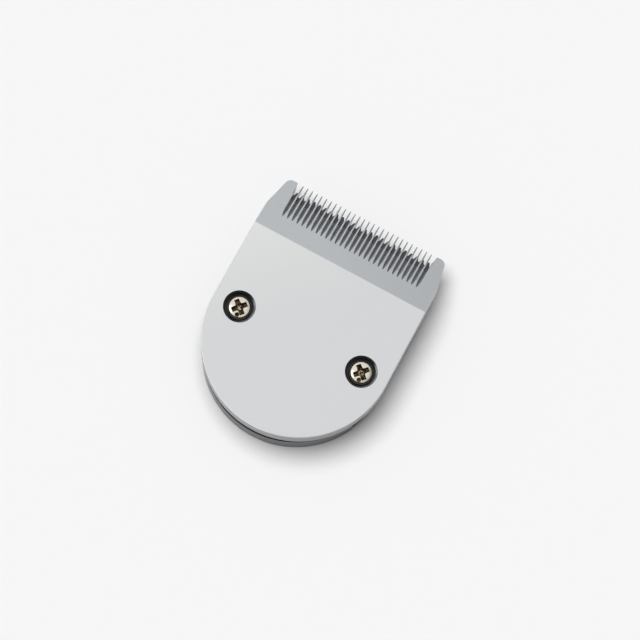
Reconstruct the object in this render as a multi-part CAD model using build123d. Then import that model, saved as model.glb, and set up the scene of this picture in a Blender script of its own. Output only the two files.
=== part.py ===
"""Hair clipper blade set: a steel comb screwed to a black holder, with a toothed cutter that slides under it.

Millimetres. Z is up and the set lies on its holder, comb on top. The origin is on the resting plane, under
the centre of the round rear end. The teeth point along +Y, and the cutter slides along X.
"""
import os
from math import acos, asin, atan2, cos, degrees, hypot, radians, sin

from build123d import *

# Comb plate outline
REAR_RADIUS = 17.9
SHOULDER_HALF_WIDTH = 17.8
SHOULDER_Y = 20.65
HORN_HALF_WIDTH = 16.45
HORN_CORNER_RADIUS = 1.2
FRONT_Y = 26.93

# Comb plate section
PLATE_THICKNESS = 4.2
BEVEL_Y = 15.93
HORN_TIP_THICKNESS = 0.5
TOOTH_TIP_THICKNESS = 0.2
NOSE_LENGTH = 1.4
PLATE_EDGE_BREAK = 0.1

# Comb teeth, and the ground slots between them
COMB_TEETH = 28
COMB_PITCH = 1.0
SLOT_ROOT_Y = 19.45
SLOT_ROOT_WIDTH = 0.2
SLOT_NECK_LENGTH = 1.5
SLOT_NECK_WIDTH = 0.7
SLOT_WAIST_LENGTH = 5.6
SLOT_WAIST_WIDTH = 0.75
SLOT_MOUTH_WIDTH = 0.85
SLOT_RAMP_LENGTH = 4.2
HORN_RELIEF = 0.25
HORN_RELIEF_LENGTH = 1.6

# Screws that hold the comb on the holder
SCREW_SPACING = 25.4
SCREW_Y = 0.5
SCREW_TURN = 49.0
SHANK_DIAMETER = 2.5
SHANK_LENGTH = 6.0
SHANK_POINT = 0.5
HEAD_DIAMETER = 4.6
HEAD_HEIGHT = 1.7
HEAD_SINK = 0.3
DOME_DIAMETER = 3.8
DOME_RISE = 0.35
HEAD_SIDE_HEIGHT = 0.7
HEAD_SIDE_SLOPE = 0.1
RECESS_LENGTH = 3.1
RECESS_WIDTH = 1.0
RECESS_DEPTH = 1.1
RECESS_CORNER = 0.25
RECESS_TAPER = 8.0
DIMPLE_DIAMETER = 0.85
DIMPLE_DEPTH = 0.35
DIMPLE_REACH = 1.5
DIMPLE_TURN = -79.0
COUNTERBORE_DIAMETER = 5.3
COUNTERBORE_BREAK = 0.36
COUNTERBORE_BREAK_DEPTH = 0.19
SCREW_HOLE_ROOM = 0.3

# Sliding cutter
CUTTER_TRAVEL = 1.4
CUTTER_TEETH = 24
CUTTER_PITCH = 1.2
CUTTER_THICKNESS = 1.2
CUTTER_SETBACK = 1.55
GULLET_DEPTH = 0.75
GULLET_ROOT_WIDTH = 0.25
GULLET_MOUTH_WIDTH = 0.9
CUTTER_END_LAND = 0.7
CUTTER_TIP_THICKNESS = 0.45
CUTTER_BEVEL_LENGTH = 3.4
RELIEF_DEPTH = 0.15
RELIEF_LENGTH = 3.0
RELIEF_SETBACK = 2.6

# Drive yoke under the cutter
YOKE_THICKNESS = 2.2
YOKE_BAR_DEPTH = 4.2
YOKE_BAR_END = 1.4
FORK_WIDTH = 4.4
FORK_DEPTH = 6.0
TINE_WIDTH = 2.4
TONGUE_REAR_Y = 6.6
TINE_ROUND = 1.0
PIN_DIAMETER = 2.0
PIN_SPACING = 16.0
PIN_RECESS = 0.25
PIN_ROOM = 0.1

# Strip spring that presses the yoke up
SPRING_WIDTH = 1.0
SPRING_THICKNESS = 0.4
SPRING_REAR_Y = 3.0
SPRING_CORNER_RADIUS = 3.0
SPRING_TIP_RUN = 1.2
SPRING_TIP_BEND = 0.3
SPRING_TIP_REACH = 0.7
SPRING_ARM_ROOM = 0.9
POCKET_ROOM = 0.3

# Holder under the comb
HOLDER_HEIGHT = 6.1
HOLDER_INSET = 0.7
HOLDER_SETBACK = 0.62
HOLDER_WALL = 1.7
WEB_THICKNESS = 1.4
BEAM_FRONT_Y = 15.3
BEAM_THICKNESS = 1.7
HOLDER_CORNER_RADIUS = 1.0
BOSS_DIAMETER = 6.4
BOSS_RAISE = 0.8
PILOT_ROOM = 0.1
PILOT_END_ROOM = 0.5
LATCH_WIDTH = 6.0
LATCH_HEIGHT = 2.0
LATCH_DEPTH = 0.7
LATCH_Y = 8.5
LATCH_Z = 1.2
POST_WIDTH = 4.0
POST_DEPTH = 2.6
POST_RAISE = 1.0
LIP_WIDTH = 9.0
LIP_REACH = 0.7
LIP_HEIGHT = 1.0

# Band let into the rear of the holder, which stands a little proud of it
BAND_HEIGHT = 5.6
BAND_THICKNESS = 0.8
BAND_STAND = 0.2
BAND_HALF_ANGLE = 65.0
BAND_EDGE_BREAK = 0.15
BAND_TAB_REACH = 0.9
BAND_TAB_WIDTH = 1.0

# Clearances
RUNNING_GAP = 0.02
GUIDE_GAP = 0.1
MOVING_ROOM = 0.3
BAND_GAP = 0.05
CUT_MARGIN = 1.0

# Heights that follow from the stack, from the resting plane up
plate_bottom = HOLDER_HEIGHT
plate_top = plate_bottom + PLATE_THICKNESS
cutter_top = plate_bottom - RUNNING_GAP
cutter_bottom = cutter_top - CUTTER_THICKNESS
yoke_bottom = cutter_bottom - YOKE_THICKNESS
spring_top = yoke_bottom - RUNNING_GAP
spring_bottom = spring_top - SPRING_THICKNESS
web_bottom = HOLDER_HEIGHT - WEB_THICKNESS
head_seat = plate_top - HEAD_SINK - HEAD_HEIGHT

# The plate's straight sides run from the shoulders back to touch the rear circle, at this angle from X
shoulder_reach = hypot(SHOULDER_HALF_WIDTH, SHOULDER_Y)
side_angle = atan2(SHOULDER_Y, SHOULDER_HALF_WIDTH) - acos(REAR_RADIUS / shoulder_reach)
side_tangent = (REAR_RADIUS * cos(side_angle), REAR_RADIUS * sin(side_angle))

# Places that line up across pieces
screw_places = [(side * SCREW_SPACING / 2, SCREW_Y) for side in (-1, 1)]
holder_radius = REAR_RADIUS - HOLDER_INSET
band_radius = holder_radius + BAND_STAND
groove_radius = band_radius - BAND_THICKNESS - BAND_GAP
cutter_front = FRONT_Y - CUTTER_SETBACK
cutter_rear = BEAM_FRONT_Y + GUIDE_GAP
beam_rear = BEAM_FRONT_Y - BEAM_THICKNESS
cutter_half_width = CUTTER_TEETH * CUTTER_PITCH / 2 + CUTTER_END_LAND
tongue_half_width = FORK_WIDTH / 2 + TINE_WIDTH
bar_rear = BEAM_FRONT_Y + MOVING_ROOM
bar_front = bar_rear + YOKE_BAR_DEPTH
arm_x = tongue_half_width + CUTTER_TRAVEL + SPRING_ARM_ROOM + SPRING_WIDTH / 2
tip_y = (bar_rear + bar_front) / 2
pocket_half_length = CUTTER_TRAVEL + SPRING_WIDTH / 2 + POCKET_ROOM
passage_half_width = arm_x + SPRING_WIDTH / 2 + MOVING_ROOM


def mirrored(points):
    """The same points on the other side of the YZ plane, in reverse order so that an outline stays closed."""
    return [(-x, y) for x, y in reversed(points)]


def rear_arc(radius):
    """The arc round the rear of a D outline, between its two straight sides."""
    sweep_angle = 180 + 2 * degrees(side_angle)
    return CenterArc((0, 0), radius, 180 - degrees(side_angle), sweep_angle)


def d_outline(radius, front_y):
    """A D face for the holder: a round end set back behind the plate's, cut square at front_y."""
    reach = front_y + HOLDER_SETBACK
    corner = ((radius - reach * sin(side_angle)) / cos(side_angle), reach)
    half = [(radius * cos(side_angle), radius * sin(side_angle)), corner]
    face = make_face(Curve() + [rear_arc(radius), Polyline(*half, *mirrored(half))])
    return Pos(0, -HOLDER_SETBACK) * face


def slab(face, bottom, top):
    """A flat face in XY turned into a solid between two heights."""
    return extrude(Pos(0, 0, bottom) * face, amount=top - bottom)


def row(face, count, pitch):
    """Copies of a face in a row along X, centred on the YZ plane."""
    first = -(count - 1) * pitch / 2
    return Sketch() + [Pos(first + index * pitch, 0) * face for index in range(count)]


def bar_x(section, half_length):
    """A section drawn in the YZ plane, carried along X to the same distance on both sides."""
    face = make_face(Polyline(*[(0, y, z) for y, z in section], close=True))
    return extrude(face, amount=half_length, dir=(1, 0, 0), both=True)


def bevel_cut(points, half_length):
    """What a grinding wheel takes off above a run of points, on to past the tips."""
    last_y, last_z = points[-1]
    high_z = plate_top + CUT_MARGIN
    ends = [(last_y + CUT_MARGIN, last_z), (last_y + CUT_MARGIN, high_z), (points[0][0], high_z)]
    return bar_x([*points, *ends], half_length)


def bevel_z(y):
    """Height of the ground bevel at this distance along the plate."""
    share = (y - BEVEL_Y) / (FRONT_Y - BEVEL_Y)
    return plate_top - share * (PLATE_THICKNESS - HORN_TIP_THICKNESS)


def comb_plate():
    """The plate before its holes and slots: broken top edge, ground bevel and a steeper nose on the teeth."""
    half = [side_tangent, (SHOULDER_HALF_WIDTH, SHOULDER_Y), (HORN_HALF_WIDTH, FRONT_Y)]
    outline = make_face(Curve() + [rear_arc(REAR_RADIUS), Polyline(*half, *mirrored(half))])
    horn_corners = outline.vertices().group_by(Axis.Y)[-1]
    outline = fillet(horn_corners, HORN_CORNER_RADIUS)
    plate = slab(outline, plate_bottom, plate_top)
    plate = chamfer(plate.faces().sort_by(Axis.Z)[-1].edges(), PLATE_EDGE_BREAK)
    bevel = [(y, bevel_z(y)) for y in (BEVEL_Y, FRONT_Y)]
    nose_y = FRONT_Y - NOSE_LENGTH
    nose = [(nose_y, bevel_z(nose_y)), (FRONT_Y, plate_bottom + TOOTH_TIP_THICKNESS)]
    plate -= bevel_cut(bevel, REAR_RADIUS + CUT_MARGIN)
    return plate - bevel_cut(nose, COMB_TEETH * COMB_PITCH / 2)


def comb_slots():
    """The slots between the teeth: narrow roots that open fast, and a floor that runs out in a ramp there."""
    half = [
        (SLOT_ROOT_WIDTH / 2, SLOT_ROOT_Y),
        (SLOT_NECK_WIDTH / 2, SLOT_ROOT_Y + SLOT_NECK_LENGTH),
        (SLOT_WAIST_WIDTH / 2, SLOT_ROOT_Y + SLOT_WAIST_LENGTH),
        (SLOT_MOUTH_WIDTH / 2, FRONT_Y),
        (SLOT_MOUTH_WIDTH / 2, FRONT_Y + CUT_MARGIN),
    ]
    slot = make_face(Polyline(*half, *mirrored(half), close=True))
    slots = row(slot, COMB_TEETH + 1, COMB_PITCH)
    horn_x = COMB_TEETH * COMB_PITCH / 2 + SLOT_MOUTH_WIDTH / 2
    relief = [
        (horn_x - HORN_RELIEF, FRONT_Y),
        (horn_x, FRONT_Y - HORN_RELIEF_LENGTH),
        (horn_x + HORN_RELIEF, FRONT_Y),
    ]
    for points in (relief, mirrored(relief)):
        slots += make_face(Polyline(*points, close=True))
    back_y = SLOT_ROOT_Y - CUT_MARGIN
    ramp_end = SLOT_ROOT_Y + SLOT_RAMP_LENGTH
    low_z = plate_bottom - 2 * CUT_MARGIN
    ramp = [
        (back_y, bevel_z(SLOT_ROOT_Y)),
        (SLOT_ROOT_Y, bevel_z(SLOT_ROOT_Y)),
        (ramp_end, plate_bottom),
        (ramp_end, low_z),
        (back_y, low_z),
    ]
    return slab(slots, plate_bottom - CUT_MARGIN, plate_top) - bar_x(ramp, REAR_RADIUS)


def fixed_comb():
    """The toothed steel plate with its two counterbored screw holes."""
    comb = comb_plate() - comb_slots()
    hole_radius = (SHANK_DIAMETER + SCREW_HOLE_ROOM) / 2
    counterbore_radius = COUNTERBORE_DIAMETER / 2
    profile = [
        (0, plate_bottom - CUT_MARGIN),
        (hole_radius, plate_bottom - CUT_MARGIN),
        (hole_radius, head_seat),
        (counterbore_radius, head_seat),
        (counterbore_radius, plate_top - COUNTERBORE_BREAK_DEPTH),
        (counterbore_radius + COUNTERBORE_BREAK, plate_top),
        (0, plate_top),
    ]
    face = make_face(Polyline(*[(x, 0, z) for x, z in profile], close=True))
    hole = revolve(face, Axis.Z)
    for x, y in screw_places:
        comb -= Pos(x, y) * hole
    return comb


def screw():
    """One pan-head screw with a cross recess and a small dimple, its head seat at z = 0."""
    head_radius = HEAD_DIAMETER / 2
    shank_radius = SHANK_DIAMETER / 2
    rim_radius = DOME_DIAMETER / 2
    rim_z = HEAD_HEIGHT - DOME_RISE
    dome_radius = (rim_radius**2 + DOME_RISE**2) / (2 * DOME_RISE)
    half_angle = asin(rim_radius / dome_radius) / 2
    dome_middle = (dome_radius * sin(half_angle), HEAD_HEIGHT - dome_radius * (1 - cos(half_angle)))
    sides = Polyline(
        (0, HEAD_HEIGHT),
        (0, -SHANK_LENGTH),
        (shank_radius - SHANK_POINT, -SHANK_LENGTH),
        (shank_radius, SHANK_POINT - SHANK_LENGTH),
        (shank_radius, 0),
        (head_radius, 0),
        (head_radius, HEAD_SIDE_HEIGHT),
        (head_radius - HEAD_SIDE_SLOPE, (HEAD_SIDE_HEIGHT + rim_z) / 2),
        (rim_radius, rim_z),
    )
    dome = ThreePointArc((rim_radius, rim_z), dome_middle, (0, HEAD_HEIGHT))
    body = Rot(90, 0, 0) * revolve(make_face(Curve() + [sides, dome]), Axis.Y)
    cross = Rectangle(RECESS_LENGTH, RECESS_WIDTH) + Rectangle(RECESS_WIDTH, RECESS_LENGTH)
    inner_corners = cross.vertices().sort_by_distance((0, 0))[:4]
    cross = fillet(inner_corners, RECESS_CORNER)
    recess = extrude(Pos(0, 0, HEAD_HEIGHT) * cross, amount=-RECESS_DEPTH, taper=RECESS_TAPER)
    dimple_angle = radians(DIMPLE_TURN - SCREW_TURN)
    dimple_z = HEAD_HEIGHT - dome_radius + (dome_radius**2 - DIMPLE_REACH**2) ** 0.5
    dimple_place = (DIMPLE_REACH * cos(dimple_angle), DIMPLE_REACH * sin(dimple_angle), dimple_z)
    dimple = Pos(*dimple_place) * Cylinder(DIMPLE_DIAMETER / 2, 2 * DIMPLE_DEPTH)
    return Rot(0, 0, SCREW_TURN) * (body - recess - dimple)


def plate_screws():
    """Both screws, driven home in the counterbores."""
    one = screw()
    return Compound(children=[Pos(x, y, head_seat) * one for x, y in screw_places])


def moving_cutter():
    """The sliding blade: a row of short teeth, a hollow-ground top, a bevel under the front and pin holes."""
    half = [(cutter_half_width, cutter_rear), (cutter_half_width, cutter_front)]
    outline = make_face(Polyline(*half, *mirrored(half), close=True))
    gullet_half = [
        (GULLET_ROOT_WIDTH / 2, cutter_front - GULLET_DEPTH),
        (GULLET_MOUTH_WIDTH / 2, cutter_front),
        (GULLET_MOUTH_WIDTH / 2, cutter_front + CUT_MARGIN),
    ]
    gullet = make_face(Polyline(*gullet_half, *mirrored(gullet_half), close=True))
    outline -= row(gullet, CUTTER_TEETH + 1, CUTTER_PITCH)
    blade = slab(outline, cutter_bottom, cutter_top)
    reach = cutter_half_width + CUT_MARGIN
    relief_front = cutter_front - RELIEF_SETBACK
    relief_floor = cutter_top - RELIEF_DEPTH
    relief = [
        (relief_front, cutter_top),
        (relief_front - RELIEF_DEPTH, relief_floor),
        (relief_front - RELIEF_LENGTH, relief_floor),
        (relief_front - RELIEF_LENGTH - RELIEF_DEPTH, cutter_top),
    ]
    bevel_start = cutter_front - CUTTER_BEVEL_LENGTH
    bevel = [
        (bevel_start, cutter_bottom),
        (cutter_front, cutter_top - CUTTER_TIP_THICKNESS),
        (cutter_front + CUT_MARGIN, cutter_top - CUTTER_TIP_THICKNESS),
        (cutter_front + CUT_MARGIN, cutter_bottom),
    ]
    blade -= bar_x(relief, reach)
    blade -= bar_x(bevel, reach)
    pin_hole = Circle((PIN_DIAMETER + PIN_ROOM) / 2)
    for side in (-1, 1):
        blade -= slab(Pos(side * PIN_SPACING / 2, tip_y) * pin_hole, cutter_bottom, cutter_top)
    return blade


def drive_yoke():
    """The plastic carrier: a cross bar pinned under the cutter, and a tongue that ends in the drive fork."""
    bar_half = arm_x + pocket_half_length + YOKE_BAR_END
    bar = Pos(0, (bar_rear + bar_front) / 2) * RectangleRounded(2 * bar_half, YOKE_BAR_DEPTH, TINE_ROUND)
    yoke = slab(bar, yoke_bottom, cutter_bottom)
    tongue_top = web_bottom - MOVING_ROOM
    tongue_half = [(tongue_half_width, TONGUE_REAR_Y), (tongue_half_width, bar_front - TINE_ROUND)]
    tongue = make_face(Polyline(*tongue_half, *mirrored(tongue_half), close=True))
    fork = Pos(0, TONGUE_REAR_Y) * SlotOverall(2 * FORK_DEPTH, FORK_WIDTH, rotation=90)
    tongue -= fork
    tine_ends = tongue.vertices().group_by(Axis.Y)[0]
    tongue = fillet(tine_ends, TINE_ROUND)
    yoke += slab(tongue, yoke_bottom, tongue_top)
    pin = Circle(PIN_DIAMETER / 2)
    pocket_rear = tip_y - SPRING_THICKNESS - SPRING_TIP_BEND - POCKET_ROOM
    pocket_front = tip_y + POCKET_ROOM
    pocket = Rectangle(2 * pocket_half_length, pocket_front - pocket_rear)
    pocket_top = yoke_bottom + SPRING_TIP_REACH + POCKET_ROOM
    for side in (-1, 1):
        yoke += slab(Pos(side * PIN_SPACING / 2, tip_y) * pin, cutter_bottom, cutter_top - PIN_RECESS)
        yoke -= slab(Pos(side * arm_x, (pocket_rear + pocket_front) / 2) * pocket, yoke_bottom, pocket_top)
    return yoke


def spring_outline(half_width, rear_y, corner_radius):
    """A face with square ends at the tips' bends and two rounded rear corners."""
    front_y = tip_y - SPRING_TIP_RUN
    half = [(half_width, rear_y), (half_width, front_y)]
    face = make_face(Polyline(*half, *mirrored(half), close=True))
    return fillet(face.vertices().group_by(Axis.Y)[0], corner_radius)


def spring_tip():
    """The end of one arm, bent up through a right angle and carried across the arm's width."""
    start_y = tip_y - SPRING_TIP_RUN
    inner_y = tip_y - SPRING_THICKNESS
    tip_top = yoke_bottom + SPRING_TIP_REACH
    section = [
        (start_y, spring_bottom),
        (tip_y, spring_bottom),
        (tip_y, tip_top),
        (inner_y, tip_top),
        (inner_y, spring_top),
        (start_y, spring_top),
    ]
    tip = bar_x(section, SPRING_WIDTH / 2)
    inner_bend = tip.edges().filter_by(Axis.X).sort_by_distance((0, inner_y, spring_top))[0]
    tip = fillet(inner_bend, SPRING_TIP_BEND)
    outer_bend = tip.edges().filter_by(Axis.X).sort_by_distance((0, tip_y, spring_bottom))[0]
    return fillet(outer_bend, SPRING_TIP_BEND + SPRING_THICKNESS)


def tension_spring():
    """A U of spring strip: its cross run sits in the holder's post, its bent tips in the yoke's pockets."""
    edge = SPRING_WIDTH / 2
    outer = spring_outline(arm_x + edge, SPRING_REAR_Y - edge, SPRING_CORNER_RADIUS + edge)
    inner = spring_outline(arm_x - edge, SPRING_REAR_Y + edge, SPRING_CORNER_RADIUS - edge)
    spring = slab(outer - inner, spring_bottom, spring_top)
    for side in (-1, 1):
        spring += Pos(side * arm_x) * spring_tip()
    return spring


def holder_shell():
    """The D-shaped wall with its flat web on top, open below for the clipper head."""
    outer = d_outline(holder_radius, BEAM_FRONT_Y)
    outer = fillet(outer.vertices().group_by(Axis.Y)[-1], HOLDER_CORNER_RADIUS)
    cavity = d_outline(holder_radius - HOLDER_WALL, beam_rear)
    shell = slab(outer, 0, HOLDER_HEIGHT) - slab(cavity, 0, web_bottom)
    boss = Circle(BOSS_DIAMETER / 2)
    for x, y in screw_places:
        shell += slab(Pos(x, y) * boss & outer, BOSS_RAISE, web_bottom)
    lip_strip = Pos(0, -holder_radius) * Rectangle(LIP_WIDTH, holder_radius)
    lip = (cavity - Pos(0, LIP_REACH) * cavity) & lip_strip
    return shell + slab(lip, 0, LIP_HEIGHT)


def band_groove():
    """Face of the groove that lets the band into the rear of the holder, with room at both ends."""
    half_angle = BAND_HALF_ANGLE + degrees(BAND_GAP / groove_radius)
    outer_radius = band_radius + CUT_MARGIN
    inner = CenterArc((0, 0), groove_radius, -90 - half_angle, 2 * half_angle)
    outer = CenterArc((0, 0), outer_radius, -90 - half_angle, 2 * half_angle)
    ends = [Line(inner @ place, outer @ place) for place in (0, 1)]
    return Pos(0, -HOLDER_SETBACK) * make_face(Curve() + [inner, outer, *ends])


def holder_openings():
    """What is cut out of the shell: pilot holes, drive window, yoke passage, latch recesses, band groove."""
    pilot = Circle((SHANK_DIAMETER + PILOT_ROOM) / 2)
    pilot_bottom = head_seat - SHANK_LENGTH - PILOT_END_ROOM
    pilots = Sketch() + [Pos(x, y) * pilot for x, y in screw_places]
    window_half = tongue_half_width + CUTTER_TRAVEL + MOVING_ROOM
    window_rear = SPRING_REAR_Y + POST_DEPTH / 2
    window = Rectangle(2 * window_half, beam_rear - window_rear)
    passage = Rectangle(2 * passage_half_width, BEAM_THICKNESS)
    latch = Rectangle(2 * (holder_radius - HOLDER_WALL + LATCH_DEPTH), LATCH_WIDTH)
    return [
        slab(pilots, pilot_bottom, HOLDER_HEIGHT),
        slab(Pos(0, (window_rear + beam_rear) / 2) * window, web_bottom, HOLDER_HEIGHT),
        slab(Pos(0, (beam_rear + BEAM_FRONT_Y) / 2) * passage, 0, web_bottom),
        slab(Pos(0, LATCH_Y) * latch, LATCH_Z, LATCH_Z + LATCH_HEIGHT),
        slab(band_groove(), 0, HOLDER_HEIGHT),
    ]


def blade_holder():
    """The black moulding that carries the rest, with a slotted post for the spring and slots for the band."""
    holder = holder_shell()
    for opening in holder_openings():
        holder -= opening
    holder += slab(Pos(0, SPRING_REAR_Y) * Rectangle(POST_WIDTH, POST_DEPTH), POST_RAISE, web_bottom)
    holder -= slab(Pos(0, SPRING_REAR_Y) * Rectangle(POST_WIDTH, SPRING_WIDTH), 0, spring_top)
    for side in (-1, 1):
        holder -= slab(band_tab(side, BAND_GAP), 0, HOLDER_HEIGHT)
    return holder


def band_tab(side, room):
    """Face of the tab that hooks one end of the band into the holder, grown by some room for its slot."""
    inner = groove_radius - BAND_TAB_REACH - room
    length = band_radius - BAND_EDGE_BREAK - inner
    turn = -90 + side * BAND_HALF_ANGLE
    tab = Rectangle(length, BAND_TAB_WIDTH + 2 * room)
    place = Pos(0, -HOLDER_SETBACK) * Rot(0, 0, turn) * Pos(inner + length / 2, -side * BAND_TAB_WIDTH / 2)
    return place * tab


def rear_band():
    """The band that wraps the rear of the holder, with a tab hooked in at each end."""
    place = Pos(0, -HOLDER_SETBACK) * Rot(0, 0, -90 - BAND_HALF_ANGLE)
    inner_radius = groove_radius + BAND_GAP
    section = Polyline(
        (inner_radius, 0, 0),
        (band_radius - BAND_EDGE_BREAK, 0, 0),
        (band_radius, 0, BAND_EDGE_BREAK),
        (band_radius, 0, BAND_HEIGHT - BAND_EDGE_BREAK),
        (band_radius - BAND_EDGE_BREAK, 0, BAND_HEIGHT),
        (inner_radius, 0, BAND_HEIGHT),
        close=True,
    )
    band = place * revolve(make_face(section), Axis.Z, revolution_arc=2 * BAND_HALF_ANGLE)
    for side in (-1, 1):
        band += slab(band_tab(side, 0), 0, BAND_HEIGHT)
    return band


PIECES = {
    "fixed_comb": fixed_comb,
    "plate_screws": plate_screws,
    "moving_cutter": moving_cutter,
    "drive_yoke": drive_yoke,
    "tension_spring": tension_spring,
    "blade_holder": blade_holder,
    "rear_band": rear_band,
}

os.makedirs("parts", exist_ok=True)
for name, make in PIECES.items():
    export_step(make(), f"parts/{name}.step")
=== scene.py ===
# %% [markdown]
# # A hair clipper blade set
#
# A trimmer blade about as long as a thumb joint: a round-ended steel comb on top, two nickel screws, a black holder
# with a dark grey rim round its rear, and under the comb a toothed cutter that a small yoke slides from side to side.
# The solids arrive finished from the part's source, in metres. This lesson gives each of them the surface of its
# real material, then lays the set on a pale table under soft light and sets the camera above it.

import bpy
import numpy as np
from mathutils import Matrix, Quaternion, Vector


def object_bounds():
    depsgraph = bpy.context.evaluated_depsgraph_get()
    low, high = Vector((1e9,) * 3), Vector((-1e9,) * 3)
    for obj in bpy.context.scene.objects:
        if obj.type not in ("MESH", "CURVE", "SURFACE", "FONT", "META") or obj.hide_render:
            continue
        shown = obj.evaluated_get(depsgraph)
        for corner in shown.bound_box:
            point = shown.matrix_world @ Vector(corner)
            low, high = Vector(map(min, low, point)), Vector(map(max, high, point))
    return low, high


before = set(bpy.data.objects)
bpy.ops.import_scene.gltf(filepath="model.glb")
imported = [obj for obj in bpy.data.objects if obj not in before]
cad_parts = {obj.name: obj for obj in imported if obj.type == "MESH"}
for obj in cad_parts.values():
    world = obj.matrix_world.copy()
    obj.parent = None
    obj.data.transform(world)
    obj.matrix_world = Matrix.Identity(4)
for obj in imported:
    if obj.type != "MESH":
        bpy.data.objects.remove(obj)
solid_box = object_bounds()
print("pieces:", ", ".join(sorted(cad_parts)))
print("size in mm:", [round(1000 * side, 2) for side in solid_box[1] - solid_box[0]])

# %% [markdown]
# ## Colours and nodes
#
# Colours are easiest to pick as sRGB hex, the way a paint chart gives them, while Blender mixes light in linear
# values. One function turns the first into the second. Another adds a shader node, with its settings and with what
# goes into its sockets, so that each finish below reads as a short list. A third makes an empty material for a finish
# to start from.

# %% Helpers for finishes
MM = 0.001


def to_linear(hex_colour):
    """sRGB to linear: a short straight piece near black, then the power 2.4 of a slightly shifted value."""
    srgb = np.array([int(hex_colour[start:start + 2], 16) for start in (1, 3, 5)]) / 255
    linear = np.where(srgb <= 0.04045, srgb / 12.92, ((srgb + 0.055) / 1.055) ** 2.4)
    return (*linear.tolist(), 1.0)


def add(tree, kind, inputs=None, **settings):
    """Adds one node. An input is a constant, an output, or a node, which stands for its first output in use."""
    node = tree.nodes.new("ShaderNode" + kind)
    for name, value in settings.items():
        setattr(node, name, value)
    for name, value in (inputs or {}).items():
        socket = next(s for i, s in enumerate(node.inputs) if s.enabled and name in (i, s.name))
        if isinstance(value, bpy.types.Node):
            value = next(output for output in value.outputs if output.enabled)
        if isinstance(value, bpy.types.NodeSocket):
            tree.links.new(value, socket)
        else:
            socket.default_value = value
    return node


def start_finish(name):
    """An empty material, with its node tree and the object's own coordinates as a starting point."""
    material = bpy.data.materials.new(name)
    material.use_nodes = True
    tree = material.node_tree
    tree.nodes.clear()
    return material, tree, add(tree, "TexCoord").outputs["Object"]


print("middle grey is", [round(value, 3) for value in to_linear("#808080")])

# %% [markdown]
# ## Ground stainless steel for the comb
#
# The comb is a hardened stainless plate. Its top was blasted to an even satin, and the slope in front was ground
# on a wheel, which leaves faint lines along the row of teeth. Satin steel shows the eye a broad, soft gloss: a metal
# with a roughness near 0.35. The grain of the blasting is about 0.05 mm, too fine to show here, so it is drawn
# at 0.2 mm. The grinding lines are stretched noise, 0.12 mm wide and a few millimetres long.

# %% Comb steel: grain and lines
BLAST_GRAIN_MM = 0.2
GRIND_LINE_MM = (4, 0.12, 0.12)


def grains(tree, place, size_mm, detail=2.0):
    """Noise with cells of the given size, the same in all directions."""
    return add(tree, "TexNoise", {"Vector": place, "Scale": 1 / (size_mm * MM), "Detail": detail})


def stretched_lines(tree, place, size_mm):
    """Noise drawn out to lines: its cells have the given sizes along x, y and z."""
    scale = [1 / (side * MM) for side in size_mm]
    drawn_out = add(tree, "Mapping", {"Vector": place, "Scale": scale})
    return add(tree, "TexNoise", {"Vector": drawn_out, "Scale": 1.0, "Detail": 3.0})


comb_steel, tree, place = start_finish("ground_stainless_steel")
blast_grain = grains(tree, place, BLAST_GRAIN_MM)
grind_lines = stretched_lines(tree, place, GRIND_LINE_MM)
print("grain in mm:", BLAST_GRAIN_MM, "and lines in mm:", GRIND_LINE_MM)

# %% [markdown]
# The blasted top and the ground slope meet in a straight edge across the plate. A steep ramp along y tells one from
# the other, and picks the grain for the top and the lines for the slope.

# %% Comb steel: top and slope
SLOPE_START = 15.93 * MM
SLOPE_EDGE = 0.05 * MM


def ramp(tree, value, low, high, start=0.0, end=1.0):
    """Goes from start to end while the value goes from low to high, and stays level outside."""
    ends = {"From Min": low, "From Max": high, "To Min": start, "To Max": end}
    return add(tree, "MapRange", {"Value": value, **ends})


def between(tree, factor, first, second):
    """A number between two, each a constant or a node: the first where the factor is zero."""
    return add(tree, "Mix", {"Factor": factor, "A": first, "B": second}, data_type="FLOAT")


x, y, z = add(tree, "SeparateXYZ", {"Vector": place}).outputs
on_slope = ramp(tree, y, SLOPE_START - SLOPE_EDGE, SLOPE_START + SLOPE_EDGE)
grain = between(tree, on_slope, blast_grain, grind_lines)
print("the slope starts at y =", round(SLOPE_START / MM, 2), "mm")

# %% [markdown]
# The two screw pockets are painted dark, as painted shade in their narrow depth. Their places are known from the
# part, so the distance from a screw's axis finds them, with a small margin over the edges of the mesh. Walls that
# stand upright are found by their normal, which hardly points up or down.

# %% Comb steel: pockets and walls
SCREW_PLACE = (12.7 * MM, 0.5 * MM, 0)
POCKET_RADIUS, POCKET_MARGIN = 2.65 * MM, 0.02 * MM
POCKET_EDGE_RADIUS, POCKET_EDGE_MARGIN = 3.01 * MM, 0.01 * MM
UPRIGHT_BELOW = 0.3


def calc(tree, operation, *values):
    """One sum: the operation's name, then what goes into it, in order."""
    return add(tree, "Math", dict(enumerate(values)), operation=operation)


def screw_distance(tree, x, y):
    """How far a place is from the nearer screw's axis: the screws mirror each other, so x counts without its sign."""
    flat_place = add(tree, "CombineXYZ", {"X": calc(tree, "ABSOLUTE", x), "Y": y})
    return add(tree, "VectorMath", {0: flat_place, 1: SCREW_PLACE}, operation="DISTANCE")


from_screw = screw_distance(tree, x, y)
in_pocket = calc(tree, "LESS_THAN", from_screw, POCKET_RADIUS + POCKET_MARGIN)
on_pocket_edge = calc(tree, "LESS_THAN", from_screw, POCKET_EDGE_RADIUS + POCKET_EDGE_MARGIN)
facing = add(tree, "SeparateXYZ", {"Vector": add(tree, "TexCoord").outputs["Normal"]}).outputs
upright = calc(tree, "LESS_THAN", calc(tree, "ABSOLUTE", facing["Z"]), UPRIGHT_BELOW)
print("the pockets are", round(2 * POCKET_EDGE_RADIUS / MM, 2), "mm across at the top")
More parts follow.
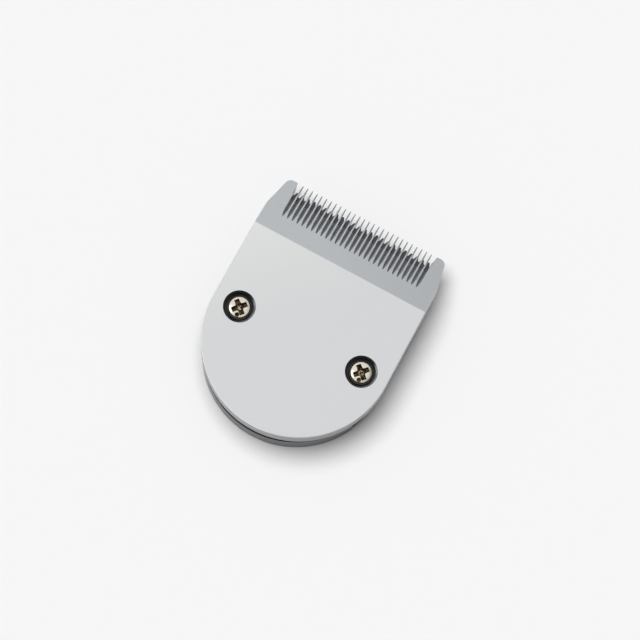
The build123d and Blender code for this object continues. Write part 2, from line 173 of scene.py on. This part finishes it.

# %% [markdown]
# The slots between the teeth are painted dark too, as painted shade. The depth under the ground slope finds them.
# They repeat every millimetre, so wrapping x at that pitch gives the place across a slot: a strip along one flank
# left bright where the light falls, then deep painted shade, then less of it. The tips of the teeth get a mask too,
# for painted shade on their rounded ends.

# %% Comb steel: slots and tips
TOOTH_PITCH = 1.0 * MM
ROW_HALF_WIDTH = 14.6 * MM
ROW_START, ROW_END = 19.4 * MM, 25.5 * MM
TIP_START, TIP_END = 24.2 * MM, 25.2 * MM
SLOPE_FALL = 3.7 / 11.0
SLOPE_TOP = solid_box[1].z + SLOPE_FALL * SLOPE_START
BARELY_SUNK, FULLY_SUNK = 0.02 * MM, 0.12 * MM
FLANK_EDGE = -0.27 * MM
LEAST_SLOT_SHADE, MOST_SLOT_SHADE = 0.25 * MM, -0.12 * MM
in_row = calc(tree, "LESS_THAN", calc(tree, "ABSOLUTE", x), ROW_HALF_WIDTH)
past_root = calc(tree, "GREATER_THAN", y, ROW_START)
behind_nose = calc(tree, "LESS_THAN", y, ROW_END)
in_teeth = calc(tree, "MULTIPLY", calc(tree, "MULTIPLY", past_root, behind_nose), in_row)
slope_z = calc(tree, "MULTIPLY_ADD", y, -SLOPE_FALL, SLOPE_TOP)
sunk = ramp(tree, calc(tree, "SUBTRACT", slope_z, z), BARELY_SUNK, FULLY_SUNK)
# Painted shade across each slot: one flank stays bright, the rest is darkened with depth and to one side.
slot_side = calc(tree, "WRAP", x, TOOTH_PITCH / 2, -TOOTH_PITCH / 2)
off_flank = calc(tree, "GREATER_THAN", slot_side, FLANK_EDGE)
in_slot = calc(tree, "MULTIPLY", in_teeth, calc(tree, "MULTIPLY", sunk, off_flank))
slot_shade = ramp(tree, slot_side, LEAST_SLOT_SHADE, MOST_SLOT_SHADE)
on_tip = calc(tree, "MULTIPLY", ramp(tree, y, TIP_START, TIP_END), in_row)
print("slots across the row:", round(2 * ROW_HALF_WIDTH / TOOTH_PITCH))

# %% [markdown]
# The colours are laid on from the most even to the most local: satin on the top, a greyer ground slope, tooth tips
# darkened as painted shade, upright walls that were only cut and never polished, then slots and pockets. The satin
# grows paler towards the front left as painted light, and the slope greyer towards the right as painted shade, for
# how the light falls across the plate. The edge of a pocket is painted dark as shade, except on the right, where it
# faces the light and is painted pale as a highlight.

# %% Comb steel: colour
PALER = (8 * MM, 32 * MM)
GREYER = (-6 * MM, 15 * MM)
LINE_SHARE = 0.12
LIT_FACING = (-0.2, -0.55)


def blend(tree, factor, first, second):
    """A colour between two, each an sRGB hex or a node: the first where the factor is zero."""
    first, second = (to_linear(tone) if isinstance(tone, str) else tone for tone in (first, second))
    return add(tree, "Mix", {"Factor": factor, "A": first, "B": second}, data_type="RGBA")


# Painted light: the satin paler towards the front left; painted shade: the slope greyer towards the right.
front_left = calc(tree, "SUBTRACT", y, x)
satin = blend(tree, ramp(tree, front_left, *PALER), "#D8DADB", "#E1E2E1")
stroke = blend(tree, ramp(tree, x, *GREYER), "#D2D6D9", "#CACED1")
ground = blend(tree, ramp(tree, grind_lines, 0.0, 1.0, end=LINE_SHARE), stroke, "#FFFFFF")
bright = blend(tree, on_slope, satin, ground)
# Painted shade: the rounded tooth tips are darkened.
tipped = blend(tree, on_tip, bright, "#A8AAAD")
walled = blend(tree, upright, tipped, "#989A9D")
# Painted shade in the slots, darkest along one side.
slotted = blend(tree, in_slot, walled, blend(tree, slot_shade, "#9C9EA1", "#6A6C6F"))
# Painted shade on the pocket edges, with a painted highlight where they face the light on the right.
pocket_edge = blend(tree, ramp(tree, facing["X"], *LIT_FACING), "#505153", "#A8A9AB")
edged = blend(tree, on_pocket_edge, slotted, pocket_edge)
# Painted shade in the screw pockets.
steel_colour = blend(tree, in_pocket, edged, "#363638")
print("colours blended:", sum(node.type == "MIX" and node.data_type == "RGBA" for node in tree.nodes))

# %% [markdown]
# The gloss wanders with the grain, and oil smooths the pockets. The bump is a hundredth of a millimetre deep, which
# breaks up reflections and doesn't read as a shape. One Principled shader takes it all in.

# %% Comb steel: gloss and bump
SATIN_ROUGHNESS = (0.3, 0.42)
POCKET_ROUGHNESS = 0.2


def bumps(tree, height, strength, depth_mm):
    """Lets light fall as if the surface had this height, and leaves the mesh as it is."""
    return add(tree, "Bump", {"Height": height, "Strength": strength, "Distance": depth_mm * MM})


def end_finish(tree, **inputs):
    """One Principled shader, with spaces for the low lines in the socket names, joined to the output."""
    shader = add(tree, "BsdfPrincipled", {name.replace("_", " "): value for name, value in inputs.items()})
    add(tree, "OutputMaterial", {"Surface": shader})


satin_gloss = ramp(tree, grain, 0.0, 1.0, *SATIN_ROUGHNESS)
gloss = between(tree, on_pocket_edge, satin_gloss, POCKET_ROUGHNESS)
bump = bumps(tree, grain, strength=0.15, depth_mm=0.01)
end_finish(tree, Base_Color=steel_colour, Metallic=1.0, Roughness=gloss, Normal=bump)
print(comb_steel.name, "has", len(tree.nodes), "nodes")

# %% [markdown]
# ## Nickel plate for the screws
#
# Small pan-head screws are turned from wire, stamped with a cross and plated with nickel, which is warmer than
# steel and shinier: a roughness near 0.2. The cross is painted dark brown, as painted shade in its deep, narrow
# recess. The depth under the domed head, a shallow parabola round each screw's axis, gives that mask.

# %% Screw nickel: painted shade in the cross
HEAD_TOP = 10.0 * MM
DOME_RADIUS = 5.33 * MM
SHADE_RADIUS = 2.12 * MM
UNSHADED_DEPTH, SHADED_DEPTH = 0.08 * MM, 0.3 * MM
screw_nickel, tree, place = start_finish("nickel_plated_steel")
x, y, z = add(tree, "SeparateXYZ", {"Vector": place}).outputs
from_screw = screw_distance(tree, x, y)
dome_drop = calc(tree, "DIVIDE", calc(tree, "POWER", from_screw, 2.0), 2 * DOME_RADIUS)
dome_z = calc(tree, "SUBTRACT", HEAD_TOP, dome_drop)
deep = ramp(tree, calc(tree, "SUBTRACT", dome_z, z), UNSHADED_DEPTH, SHADED_DEPTH)
# Painted shade in the deep cross recess.
in_cross_shade = calc(tree, "MULTIPLY", deep, calc(tree, "LESS_THAN", from_screw, SHADE_RADIUS))
print("the dome drops", round(SHADE_RADIUS ** 2 / (2 * DOME_RADIUS) / MM, 2), "mm as far out as dirt can lie")

# %% [markdown]
# The nickel is a little uneven, the painted shade in the cross is speckled, and a few flecks in the middle of the
# cross are painted bright as a painted glint. The rim of the head is duller than the dome, because nothing ever
# polishes it.

# %% Screw nickel: colour, gloss and bump
PLATING_MM, SPECK_MM = 0.4, 0.3
SPECKLED, FLECKED = (0.45, 0.7), (0.46, 0.58)
GLINT_REACH = (0.55 * MM, 0.25 * MM)
HEAD_RIM = 2.04 * MM
DOME_ROUGHNESS = (0.14, 0.26)
RIM_ROUGHNESS = 0.55
plating = grains(tree, place, PLATING_MM, detail=3.0)
specks = grains(tree, place, SPECK_MM, detail=1.0)
nickel = blend(tree, plating, "#DAD1C1", "#E6E0D4")
shade = blend(tree, ramp(tree, specks, *SPECKLED), "#241C13", "#5E513E")
# Painted glint: a few flecks near the middle of the cross are painted bright.
painted_glint = calc(tree, "MULTIPLY", ramp(tree, from_screw, *GLINT_REACH), ramp(tree, specks, *FLECKED))
screw_colour = blend(tree, in_cross_shade, nickel, blend(tree, painted_glint, shade, "#C4B299"))
on_rim = calc(tree, "GREATER_THAN", from_screw, HEAD_RIM)
gloss = between(tree, on_rim, ramp(tree, plating, 0.0, 1.0, *DOME_ROUGHNESS), RIM_ROUGHNESS)
bump = bumps(tree, plating, strength=0.1, depth_mm=0.02)
end_finish(tree, Base_Color=screw_colour, Metallic=1.0, Roughness=gloss, Normal=bump)
print(screw_nickel.name, "has", len(tree.nodes), "nodes")

# %% [markdown]
# ## Lined steel for the cutter and the spring
#
# The cutter is tool steel that slides on the comb with a film of oil. It is ground like the comb, but its colour is
# painted much darker, as painted shade under the comb, so that the slots above it read as dark stripes. Its lines
# run along the stroke. The spring is bent from rolled steel strip, bright and smooth, with faint lines along its
# length from the rollers. Both are one recipe: stretched noise in the colour, the gloss and the bump.


# %% Cutter and spring
def lined_steel(name, line_mm, dark_tone, pale_tone, smooth, rough):
    """A steel with lines of the given size, and a gloss that wanders between two roughnesses."""
    material, tree, place = start_finish(name)
    lines = stretched_lines(tree, place, line_mm)
    colour = blend(tree, lines, dark_tone, pale_tone)
    gloss = ramp(tree, lines, 0.0, 1.0, smooth, rough)
    bump = bumps(tree, lines, strength=0.15, depth_mm=0.01)
    end_finish(tree, Base_Color=colour, Metallic=1.0, Roughness=gloss, Normal=bump)
    return material


# The cutter's dark tones are painted shade: it lies under the comb, in its shadow.
cutter_steel = lined_steel("shade_darkened_tool_steel", (3, 0.1, 0.1), "#47494C", "#5B5E61", smooth=0.24, rough=0.4)
spring_steel = lined_steel("rolled_spring_steel", (0.1, 12, 0.1), "#B4B5B6", "#C6C7C8", smooth=0.2, rough=0.32)
print("lined:", cutter_steel.name, spring_steel.name)

# %% [markdown]
# ## Moulded plastics for the holder, the rim and the yoke
#
# The holder is black ABS from a spark-eroded mould, which leaves a fine, even grain with a soft sheen. The rim round
# its rear is the same plastic in charcoal, from a smoother mould: seen from above its wall mirrors the pale table at
# a low angle, so it reads as grey while the level ledge above it stays black. Under the plate it is painted black in
# a long, thin crescent, with its sheen turned down: painted shade for the shadow gap under the plate.

# %% Painted shade on the rim
CRESCENT_MIDDLE = -3.3 * MM
CRESCENT_HALF_WIDTH = 11.0 * MM
CRESCENT_DEPTH = 1.0 * MM
RIM_TOP = 5.6 * MM


def shaded_crescent(tree, place):
    """One for painted shade on the rim, in a crescent under the plate: deepest at the rear, none at the sides."""
    x, _, z = add(tree, "SeparateXYZ", {"Vector": place}).outputs
    share = calc(tree, "DIVIDE", calc(tree, "SUBTRACT", x, CRESCENT_MIDDLE), CRESCENT_HALF_WIDTH)
    squared = calc(tree, "MULTIPLY", share, share)
    crescent_z = calc(tree, "MULTIPLY_ADD", squared, CRESCENT_DEPTH, RIM_TOP - CRESCENT_DEPTH)
    return calc(tree, "GREATER_THAN", z, crescent_z)


print("the oil reaches down to", round((RIM_TOP - CRESCENT_DEPTH) / MM, 2), "mm above the table")

# %% [markdown]
# The yoke has to slide without wear, so it is acetal, a waxy dark plastic. All three are one recipe: noise for the
# grain, worked into the gloss and the bump, and a colour that hardly varies.

# %% Holder, rim and yoke
FLOW_MM = 7
# The tone and sheen of the painted shade in the rim's crescent.
SHADE_TONE = "#060606"
SHADE_SHEEN = 0.05


def moulded(name, dark_tone, pale_tone, grain_mm, smooth, rough, refraction, sheen=0.5, oil=None):
    """A moulded plastic: grain of the given size, and a gloss that wanders between two roughnesses."""
    material, tree, place = start_finish(name)
    grain = grains(tree, place, grain_mm)
    colour = blend(tree, grains(tree, place, FLOW_MM), dark_tone, pale_tone)
    gloss = ramp(tree, grain, 0.0, 1.0, smooth, rough)
    bump = bumps(tree, grain, strength=0.3, depth_mm=0.02)
    # A shading mask lays painted shade over the colour and turns the sheen down.
    if oil:
        shaded = oil(tree, place)
        colour = blend(tree, shaded, colour, SHADE_TONE)
        sheen = ramp(tree, shaded, 0.0, 1.0, sheen, SHADE_SHEEN)
    end_finish(tree, Base_Color=colour, Roughness=gloss, Normal=bump, IOR=refraction, Specular_IOR_Level=sheen)
    return material


holder_plastic = moulded("black_moulded_abs", "#0A0A0B", "#111112", grain_mm=0.16, smooth=0.42, rough=0.55,
                         refraction=1.53, sheen=0.12)
band_plastic = moulded("charcoal_moulded_abs", "#2B2C2E", "#313235", grain_mm=0.16, smooth=0.24, rough=0.34,
                       refraction=1.53, oil=shaded_crescent)
yoke_plastic = moulded("dark_acetal", "#2A2B2D", "#333437", grain_mm=0.3, smooth=0.28, rough=0.42, refraction=1.48)
print("moulded:", holder_plastic.name, band_plastic.name, yoke_plastic.name)

# %% [markdown]
# ## Dress the pieces
#
# Each solid keeps its mesh and its place and only swaps its plain material for the finish of its real one.

# %% Give each piece its finish
FINISHES = {
    "fixed_comb": comb_steel,
    "plate_screws": screw_nickel,
    "moving_cutter": cutter_steel,
    "drive_yoke": yoke_plastic,
    "tension_spring": spring_steel,
    "blade_holder": holder_plastic,
    "rear_band": band_plastic,
}
for name, finish in FINISHES.items():
    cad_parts[name].material_slots[0].material = finish
print("dressed", len(FINISHES), "pieces")

# %% [markdown]
# ## Table
#
# The set lies on a pale, matt table top. One large flat sheet does, at the height of the lowest solid, because the
# camera looks down on it. Its colour is the background of the picture, and it keeps the soft shadow.

# %% Table top
TABLE_SIDE = 6.0


def flat_sheet(side, height, lines=3):
    """A square grid: x and y run evenly over the side, centred on the origin, and z is the given height."""
    steps = np.linspace(-side / 2, side / 2, lines)
    x, y = np.meshgrid(steps, steps, indexing="ij")
    points = np.stack([x, y, np.full_like(x, height)], axis=-1).reshape(-1, 3)
    cells = np.arange(lines - 1)
    corner = np.add.outer(cells * lines, cells).ravel()
    return points, np.stack([corner, corner + lines, corner + lines + 1, corner + 1], axis=-1)


points, faces = flat_sheet(TABLE_SIDE, solid_box[0].z)
table_mesh = bpy.data.meshes.new("table_top")
table_mesh.from_pydata(points.tolist(), [], faces.tolist())
table = bpy.data.objects.new("table_top", table_mesh)
bpy.context.scene.collection.objects.link(table)
table_laminate, tree, _ = start_finish("pale_laminate")
end_finish(tree, Base_Color=to_linear("#F6F6F6"), Roughness=0.9)
table_mesh.materials.append(table_laminate)
print("table faces point up:", all(face.normal.z > 0.99 for face in table_mesh.polygons))

# %% [markdown]
# ## Light
#
# The shadow falls to the right and towards the viewer and is soft at its rim, so the main light is broad and comes
# from high on the far left: a sun with a wide disc. It is left out of reflections, because the steel shows no bright
# disc, only an even glow. Directions are given as they look in the picture, which is turned against the part's axes.

# %% Window
PICTURE_TURN = np.radians(28.55)
WINDOW_TURN, WINDOW_HEIGHT, WINDOW_HALF_ANGLE = 132, 78, 19
KEY_SHARE = 0.825
picture_right = Vector((np.cos(PICTURE_TURN), np.sin(PICTURE_TURN), 0))
picture_far = Vector((-np.sin(PICTURE_TURN), np.cos(PICTURE_TURN), 0))


def in_picture(turn_degrees, height_degrees):
    """The direction at a turn from the picture's right, anticlockwise, and at a height over the table."""
    turn, height = np.radians(turn_degrees), np.radians(height_degrees)
    level = picture_right * np.cos(turn) + picture_far * np.sin(turn)
    return level * np.cos(height) + Vector((0, 0, np.sin(height)))


def sun_lamp(name, towards, half_angle_degrees, energy):
    """A sun that shines from a direction, with a disc of the given half angle."""
    light = bpy.data.lights.new(name, "SUN")
    light.energy = energy
    light.angle = np.radians(2 * half_angle_degrees)
    lamp = bpy.data.objects.new(name, light)
    lamp.rotation_mode = "QUATERNION"
    lamp.rotation_quaternion = towards.to_track_quat("Z", "Y")
    bpy.context.scene.collection.objects.link(lamp)
    return lamp


to_window = in_picture(WINDOW_TURN, WINDOW_HEIGHT)
window = sun_lamp("broad_window", to_window, WINDOW_HALF_ANGLE, float(KEY_SHARE * np.pi / to_window.z))
window.visible_glossy = False
print("window energy:", round(window.data.energy, 2))

# %% [markdown]
# The even glow is a wide panel overhead, which the top of the plate mirrors in full and the slope only in part, so
# the slope reads as a darker grey. A small softbox on the left gives the screw heads their glint, and pale walls,
# brightest on the near left, keep the steel from going black when it is seen from the side. All of them are seen in
# reflections only, so the shadow stays with the window.

# %% Panel, softbox and walls
PANELS = {"ceiling_panel": (116, 76, 44.5, 0.81), "left_softbox": (176, 50, 17, 0.9)}
WALL_HEIGHT, WALL_HALF_ANGLE = 5, 24
WALL_LEVELS = {0: 0.4, 45: 0.4, 90: 0.4, 135: 0.4, 180: 1.2, 225: 1.2, 270: 0.4, 315: 0.4}


def glossy_panel(name, towards, half_angle_degrees, level):
    """A round panel that only reflections show, as bright as the level: energy is level, pi and the sine squared."""
    energy = float(level * np.pi * np.sin(np.radians(half_angle_degrees)) ** 2)
    panel = sun_lamp(name, towards, half_angle_degrees, energy)
    panel.visible_diffuse = False
    print(name, "energy:", round(energy, 2))


for name, (turn, height, half_angle, level) in PANELS.items():
    glossy_panel(name, in_picture(turn, height), half_angle, level)
for turn, level in WALL_LEVELS.items():
    glossy_panel(f"pale_wall_{turn}", in_picture(turn, WALL_HEIGHT), WALL_HALF_ANGLE, level)

# %% [markdown]
# The room adds an even, dim level all round, which keeps the shadow from going black.

# %% Room
ROOM_LEVEL = 0.18
room = bpy.data.worlds.new("soft_room")
room.use_nodes = True
tree = room.node_tree
tree.nodes.clear()
glow = add(tree, "Background", {"Color": to_linear("#FFFFFF"), "Strength": ROOM_LEVEL})
add(tree, "OutputWorld", {"Surface": glow})
bpy.context.scene.world = room
print("room level:", ROOM_LEVEL)

# %% [markdown]
# ## Camera
#
# The photograph looks down steeply, from 78.5 degrees above the table, with hardly any perspective, so the camera
# stands well back with a long lens. It is rolled a little too, because the walls show most on the lower left and not
# straight below. Its place follows from one fixed point: the centre of the round rear end, on the top face, sits a
# little left of and below the middle of the picture, and a millimetre there is 5.46 pixels.

# %% Camera
PIXELS = 640
PIXELS_PER_MM = 5.46
DISTANCE = 0.7
TOP_CENTRE = Vector((0, 0, solid_box[1].z))
TOP_CENTRE_PIXEL = (299.0, 341.35)
VIEW_TURN = np.radians(19.5)
VIEW_TILT = np.radians(78.5)
VIEW_ROLL = np.radians(9.0)
back = Vector((np.sin(VIEW_TURN) * np.cos(VIEW_TILT), -np.cos(VIEW_TURN) * np.cos(VIEW_TILT), np.sin(VIEW_TILT)))
camera_turn = back.to_track_quat("Z", "Y") @ Quaternion((0, 0, 1), VIEW_ROLL)
view_right = camera_turn @ Vector((1, 0, 0))
view_up = camera_turn @ Vector((0, 1, 0))
right_mm = (PIXELS / 2 - TOP_CENTRE_PIXEL[0]) / PIXELS_PER_MM
up_mm = (TOP_CENTRE_PIXEL[1] - PIXELS / 2) / PIXELS_PER_MM
aim = TOP_CENTRE + (right_mm * view_right + up_mm * view_up) * MM
lens = bpy.data.cameras.new("camera")
lens.lens = lens.sensor_width * DISTANCE / (PIXELS / PIXELS_PER_MM * MM)
camera = bpy.data.objects.new("camera", lens)
camera.location = aim + back * DISTANCE
camera.rotation_mode = "QUATERNION"
camera.rotation_quaternion = camera_turn
bpy.context.scene.collection.objects.link(camera)
bpy.context.scene.camera = camera
bpy.context.scene.view_settings.view_transform = "Standard"
print("lens in mm:", round(lens.lens, 1))
